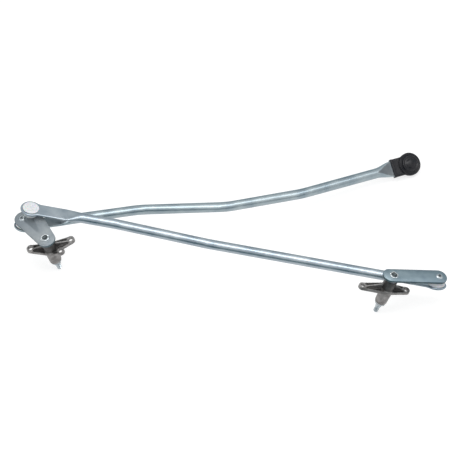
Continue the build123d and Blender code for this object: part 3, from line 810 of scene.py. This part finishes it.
def eye_plate(place, reach, eye):
    """The flat end of a link: an eye with a hole, blended into the flat that leaves along X."""
    neck_height = FLAT_HALF_WIDTH + NECK_BLEND
    neck_reach = sqrt((eye + NECK_BLEND) ** 2 - neck_height**2)
    meeting = degrees(atan2(neck_height, neck_reach))
    upper = arc(0, 0, eye, 180, meeting, 26)
    upper += arc(neck_reach, neck_height, NECK_BLEND, meeting - 180, -90, 6)[1:]
    upper += [(reach, FLAT_HALF_WIDTH)]
    lower = [(x, -y) for x, y in reversed(upper[1:])]
    bm = bmesh.new()
    outline = [bm.verts.new((x, y, -FLAT_THICKNESS / 2)) for x, y in upper + lower]
    rim = [bm.edges.new(pair) for pair in zip(outline, outline[1:] + outline[:1])]
    hole = bmesh.ops.create_circle(
        bm, cap_ends=False, radius=SOCKET_BARREL_RADIUS, segments=EYE_SIDES,
        matrix=moved(0, 0, -FLAT_THICKNESS / 2),
    )
    hole_edges = list({edge for vert in hole["verts"] for edge in vert.link_edges})
    filled = bmesh.ops.triangle_fill(bm, use_beauty=True, use_dissolve=False, edges=rim + hole_edges)
    faces = [item for item in filled["geom"] if isinstance(item, bmesh.types.BMFace)]
    grown = bmesh.ops.extrude_face_region(bm, geom=faces, use_keep_orig=True)
    top = [item for item in grown["geom"] if isinstance(item, bmesh.types.BMVert)]
    bmesh.ops.translate(bm, vec=(0, 0, FLAT_THICKNESS), verts=top)
    hem = [edge for edge in bm.edges if at_hem(edge, reach)]
    bmesh.ops.bevel(
        bm, geom=hem, offset=FLAT_EDGE_ROUND, offset_type="OFFSET", affect="EDGES", segments=5,
        profile=0.5, material=-1, clamp_overlap=True,
    )
    bmesh.ops.transform(bm, matrix=place, verts=bm.verts)
    return bm


def tube_section(height, angle):
    """A point of the tube's section pressed down to half a height: flat above and below, with round sides."""
    half_flat = FLAT_THICKNESS / 2
    width = (FLAT_HALF_WIDTH - half_flat) * (TUBE_RADIUS - height) / (TUBE_RADIUS - half_flat)
    quarter = width + pi * height / 2
    turn = angle % (2 * pi)
    quadrant = int(turn // (pi / 2))
    share = (turn - quadrant * pi / 2) / (pi / 2)
    if quadrant % 2:
        share = 1 - share
    walked = share * quarter
    if walked < width:
        across, up = walked, height
    else:
        bend = (walked - width) / height
        across, up = width + height * sin(bend), height * cos(bend)
    across = across if quadrant < 2 else -across
    up = up if quadrant in (0, 3) else -up
    return across, up


def pressed_height(share):
    """Half the tube's height at a share of the way from the flat to the round tube."""
    ramp = PRESS_SOFTNESS * share * share * (3 - 2 * share) + (1 - PRESS_SOFTNESS) * share
    return FLAT_THICKNESS / 2 + (TUBE_RADIUS - FLAT_THICKNESS / 2) * ramp


def press_stations(end, reach):
    """Places and half heights from an end's flat to the round tube."""
    stations = []
    for step in range(PRESS_STEPS + 1):
        share = step / PRESS_STEPS
        stations.append((end @ moved(reach + PRESS_LENGTH * share, 0, 0), pressed_height(share)))
    return stations


def pressed_face(reach, height, up, flat):
    """Whether a face lies on a flat end's upper face, which narrows to a point along the tube, for the
    painted shade.
    """
    share = min(1.0, max(0.0, (reach - flat) / PRESS_LENGTH))
    lowest = pressed_height(share) - PRESSED_EDGE_DROP * (1 - share) - PRESSED_FACE_MARGIN
    return up > FACING and reach < flat + PRESS_LENGTH and height > lowest


def route_stations(link, near, far):
    """Places along the round tube: straight runs joined by arcs, turning evenly to the twist."""
    start = (near @ Vector((link["flats"][0] + PRESS_LENGTH, 0, 0))).to_2d()
    finish = (far @ Vector((link["flats"][1] + PRESS_LENGTH, 0, 0))).to_2d()
    corners = [start] + [Vector(bend) for bend in link["bends"]] + [finish]
    points = []
    for before, corner, after in zip(corners, corners[1:], corners[2:]):
        heading_in = atan2(*(corner - before).yx)
        heading_out = atan2(*(after - corner).yx)
        turn = heading_out - heading_in
        reach = link["bend_radius"] * tan(abs(turn) / 2)
        entry = corner - reach * (corner - before).normalized()
        steps = max(3, round(abs(turn) / radians(TUBE_BEND_STEP)))
        for step in range(steps + 1):
            swung = turn * step / steps
            chord = 2 * link["bend_radius"] * sin(abs(swung) / 2)
            point = entry + chord * Vector((cos(heading_in + swung / 2), sin(heading_in + swung / 2)))
            points.append((point, heading_in + swung))
    walked = [0.0]
    for (one, _), (other, _) in zip(points, points[1:]):
        walked.append(walked[-1] + (other - one).length)
    stations = []
    for (point, heading), distance in zip(points, walked):
        twist = link["twist"] * distance / walked[-1]
        place = moved(point.x, point.y, 0) @ Matrix.Rotation(heading, 4, "Z") @ turned(twist, "X")
        stations.append((place, TUBE_RADIUS))
    return stations


def next_along(vert, new_verts):
    """The vertex that an extrusion made from this one."""
    for edge in vert.link_edges:
        if edge.other_vert(vert) in new_verts:
            return edge.other_vert(vert)


def link_tube(name, link, place, body, node, finish):
    """A bent tube, pressed flat to an eye at both ends."""
    near, far = link_ends(link)
    near.translation /= MM
    far.translation /= MM
    near_flat, far_flat = link["flats"]
    backwards = turned(180, "Z")
    stations = press_stations(near, near_flat)
    stations += route_stations(link, near, far)
    stations += [(station @ backwards, height) for station, height in press_stations(far, far_flat)[::-1]]
    bm = bmesh.new()
    ring = bmesh.ops.create_circle(bm, cap_ends=True, radius=TUBE_RADIUS, segments=TUBE_SIDES)["verts"]
    angles = [atan2(vert.co.x, vert.co.y) for vert in ring]
    loop = list({edge for vert in ring for edge in vert.link_edges})
    for index, (station, height) in enumerate(stations):
        if index:
            grown = bmesh.ops.extrude_edge_only(bm, edges=loop)["geom"]
            new_verts = {item for item in grown if isinstance(item, bmesh.types.BMVert)}
            loop = [item for item in grown if isinstance(item, bmesh.types.BMEdge)]
            loop = [edge for edge in loop if new_verts.issuperset(edge.verts)]
            ring = [next_along(vert, new_verts) for vert in ring]
        for vert, angle in zip(ring, angles):
            across, up = tube_section(height, angle)
            vert.co = station @ Vector((0, across, up))
    bmesh.ops.contextual_create(bm, geom=loop)
    for end, reach, eye in zip((near, far), link["flats"], link["eyes"]):
        join(bm, eye_plate(end, reach, eye))
    placed(bm, place)
    return new_piece(name, bm, finish, body, node)


# Castings and the boot


def rounded_over(bm, voxel, rounds):
    """A shape with every sharp edge rounded, as a casting's or a moulding's is, from a grid this fine."""
    source = mesh_object("unrounded", bm)
    remesh = source.modifiers.new("even", "REMESH")
    remesh.mode = "VOXEL"
    remesh.voxel_size = voxel * MM
    evaluated = source.evaluated_get(bpy.context.evaluated_depsgraph_get())
    even = bpy.data.meshes.new_from_object(evaluated)
    bpy.data.objects.remove(source)
    bm = bmesh.new()
    bm.from_mesh(even)
    bpy.data.meshes.remove(even)
    for _ in range(rounds):
        bmesh.ops.smooth_vert(
            bm, verts=bm.verts, factor=0.5, use_axis_x=True, use_axis_y=True, use_axis_z=True,
        )
    return bm


def in_painted_shade(reach, height, up):
    """Whether a face is on a housing's boss or on the floor of a pocket, where shade is painted."""
    on_boss = height > SHADED_BOSS_LOW and reach < SHADED_BOSS_RADIUS
    in_pocket = POCKET_FLOOR_LOW < height < POCKET_FLOOR_HIGH and up > FACING
    return on_boss or in_pocket


def housing(side):
    """A cast housing, with painted shade in its pockets and round its boss."""
    bm = rounded_over(solid_copy(f"{side}_housing"), HOUSING_VOXEL, HOUSING_SMOOTHING)
    piece = new_piece(
        f"{side}_housing_casting", bm, finishes["cast_aluminium"], f"{side}_pivot",
        f"{side}_housing", sharp=False,
    )
    # Painted shade under the crank: a darker aluminium on the boss and the pocket floors
    second_finish(piece, finishes["painted_shade_aluminium"], pivots[side], in_painted_shade)


def sunk(reach, radius, half_width, depth):
    """How deep a round groove is at a reach from its axis."""
    return depth * max(0.0, 1 - abs(reach - radius) / half_width)


def motor_boot():
    """The boot with its domed crown, a groove round the crown and a seam beside the collar."""
    motor = drive_frame @ motor_far
    bm = solid_copy("motor_boot")
    join(bm, placed(spin_profile(BOOT_CROWN, BOOT_CROWN_SIDES), motor))
    bm = rounded_over(bm, BOOT_VOXEL, BOOT_SMOOTHING)
    piece = new_piece(
        "motor_boot_moulding", bm, finishes["black_rubber"], "drive_link", "motor_boot",
        sharp=False,
    )
    into_motor = motor.inverted()
    push = motor.to_3x3() @ Vector((0, 0, -MM))
    for vert in piece.data.vertices:
        spot = into_motor @ vert.co / MM
        reach = hypot(spot.x, spot.y)
        if spot.z > BOOT_TOP_LOW:
            depth = sunk(reach, *BOOT_GROOVE)
            if spot.x > BOOT_SEAM_START:
                depth += sunk(reach, *BOOT_SEAM)
            vert.co += push * depth


# The setting


def studio():
    """A room that is white where it is looked at, and lights the linkage a little less."""
    scene = bpy.context.scene
    scene.view_settings.view_transform = "Standard"
    world = bpy.data.worlds.new("studio")
    scene.world = world
    world.use_nodes = True
    air = NodeMaker(world.node_tree)
    level = air.between(air.looked_at(), 0.0, 1.0, ROOM_LIGHT, 1.0)
    background = air.tree.nodes["Background"]
    background.inputs["Color"].default_value = (*WHITE, 1)
    air.tree.links.new(level.socket, background.inputs["Strength"])


def reflection_card(name, place, turn, size, colour, strength):
    """A toned or bright card round the bench, seen only in the gloss of the linkage."""
    bm = bmesh.new()
    bmesh.ops.create_grid(bm, x_segments=1, y_segments=1, size=0.5)
    bmesh.ops.scale(bm, verts=bm.verts, vec=(*size, 1))
    bmesh.ops.transform(bm, matrix=moved(*place) @ turned(turn, "X"), verts=bm.verts)
    card = mesh_object(name, bm)
    tone = Finish(name, (0, 0, 0), 0.0, 1.0)
    glow = tone.node("ShaderNodeEmission", None, {"Color": (*colour, 1), "Strength": strength})
    tone.tree.links.new(glow.outputs[0], tone.tree.nodes["Material Output"].inputs[0])
    card.data.materials.append(tone.material)
    card.visible_camera = False
    card.visible_diffuse = False
    card.visible_transmission = False
    card.visible_shadow = False


def bench():
    """The white bench under the linkage, whose shadow stays on it."""
    bm = bmesh.new()
    bmesh.ops.create_grid(bm, x_segments=1, y_segments=1, size=BENCH_HALF_WIDTH)
    top = mesh_object("bench", bm)
    paper = Finish("bench_paper", (BENCH_PAPER, BENCH_PAPER, BENCH_PAPER), 0.0, 0.9)
    strength = paper.looked_at() * BENCH_GLOW
    glow = paper.node("ShaderNodeEmission", None, {"Color": (*WHITE, 1), "Strength": strength})
    both = paper.node("ShaderNodeAddShader", None, {
        0: Reading(paper, paper.shader.outputs[0]), 1: Reading(paper, glow.outputs[0]),
    })
    paper.tree.links.new(both.outputs[0], paper.tree.nodes["Material Output"].inputs[0])
    top.data.materials.append(paper.material)


finishes = {
    # The cranks are one zinc in two painted tones: the right is darker to paint the darker reflection it
    # shows, and the left is lighter and less metallic, which paints an even light where its gloss would show
    # shade
    "left_plate": zinc_plate("zinc_left_plate_painted_light", (0.31, 0.34, 0.355), 0.55, CRANK_GRAIN, metallic=0.3),
    "right_plate": zinc_plate("zinc_right_plate_painted_shade", (0.23, 0.29, 0.32), 0.46, CRANK_GRAIN),
    "connecting_tube": zinc_plate(
        "zinc_tube_connecting", (0.35, 0.39, 0.42), 0.28,
        CONNECTING_LINK_HEADING, CONNECTING_LINK_SLOPE, 30.0,
    ),
    "drive_tube": zinc_plate(
        "zinc_tube_drive", (0.32, 0.37, 0.39), 0.28, DRIVE_LINK_HEADING, DRIVE_LINK_SLOPE, 30.0,
    ),
    "turned_steel": zinc_plate("zinc_turned", (0.50, 0.53, 0.54), 0.20),
    # A dark zinc that paints the shade in the recesses of the swaged heads and the studs' stakes
    "painted_shade_staked": zinc_plate("zinc_staked_painted_shade", (0.10, 0.115, 0.12), 0.28),
    # A darker zinc that paints a shadow and a dark reflection on the drive link's pressed faces
    "painted_shade_pressed": zinc_plate(
        "zinc_pressed_painted_shade", (0.17, 0.185, 0.195), 0.3, DRIVE_LINK_HEADING, DRIVE_LINK_SLOPE, 6.0,
    ),
    # A dark zinc that paints the shade on the cranks' side faces
    "painted_shade_sheared": zinc_plate("zinc_sheared_painted_shade", (0.10, 0.14, 0.155), 0.5),
    "cast_aluminium": cast_aluminium("cast_aluminium", 1.0),
    # A darker aluminium that paints the shade under the cranks
    "painted_shade_aluminium": cast_aluminium("cast_aluminium_painted_shade", PAINTED_SHADE_LEVEL),
    "white_nylon": white_nylon(),
    "black_rubber": black_rubber(),
    "sintered_bronze": sintered_bronze(),
    "spring_steel": spring_steel(),
}
pivot_part_finishes = {
    "flat_washer": "turned_steel", "thrust_washer": "white_nylon", "circlip": "spring_steel",
    "seal_ring": "black_rubber", "upper_bush": "sintered_bronze", "lower_bush": "sintered_bronze",
}
for side in SIDES:
    for part, finish in pivot_part_finishes.items():
        mesh = frame["nodes"][f"{side}_{part}"].data
        mesh.materials.clear()
        mesh.materials.append(finishes[finish])

photo_camera()
studio()
overhead_softbox()
bench()
for card in REFLECTION_CARDS:
    reflection_card(*card)

for side in SIDES:
    crank_plate(side)
for side in SIDES:
    wiper_shaft(side)
crank_underside = SHAFT_LENGTH - CRANK_THICKNESS
drive_stud_place = on_crank("left", LEFT_DRIVE_STUD, crank_underside) @ upside_down
link_stud_place = on_crank("left", LEFT_LINK_STUD, SHAFT_LENGTH)
right_stud_place = on_crank("right", RIGHT_STUD, crank_underside) @ upside_down
ball_stud("drive_ball_stud", drive_stud_place, "left_crank")
ball_stud("link_ball_stud", link_stud_place, "left_crank")
ball_stud("right_ball_stud", right_stud_place, "right_crank")
below = moved_mm(0, 0, -EYE_OFFSET)
above = moved_mm(0, 0, EYE_OFFSET) @ upside_down
ball_socket(
    "connecting_link_left_cap", connecting_frame @ connecting_near @ below, "connecting_link",
    "connecting_link_left_socket", SOCKET_LIP_RADIUS,
)
ball_socket(
    "connecting_link_right_cap", connecting_frame @ connecting_far @ above, "connecting_link",
    "connecting_link_right_socket", SOCKET_LIP_RADIUS,
)
ball_socket(
    "drive_link_cap", drive_frame @ drive_near @ above, "drive_link", "drive_link_socket", SOCKET_LIP_RADIUS,
)
ball_socket("motor_cap", drive_frame @ motor_far @ below, "drive_link", "motor_socket", SOCKET_BARB_RADIUS)
link_tube(
    "connecting_link_steel", CONNECTING_LINK, connecting_frame, "connecting_link", "connecting_link_tube",
    finishes["connecting_tube"],
)
drive_tube = link_tube(
    "drive_link_steel", DRIVE_LINK, drive_frame, "drive_link", "drive_link_tube", finishes["drive_tube"],
)
# Painted shade on the drive link's two pressed faces: a painted shadow beside the left crank, and a painted
# dark reflection at the motor's end
for end, flat in zip((drive_near, motor_far), DRIVE_LINK["flats"]):
    second_finish(
        drive_tube, finishes["painted_shade_pressed"], drive_frame @ end,
        lambda reach, height, up: pressed_face(reach, height, up, flat),
    )
for side in SIDES:
    housing(side)
motor_boot()
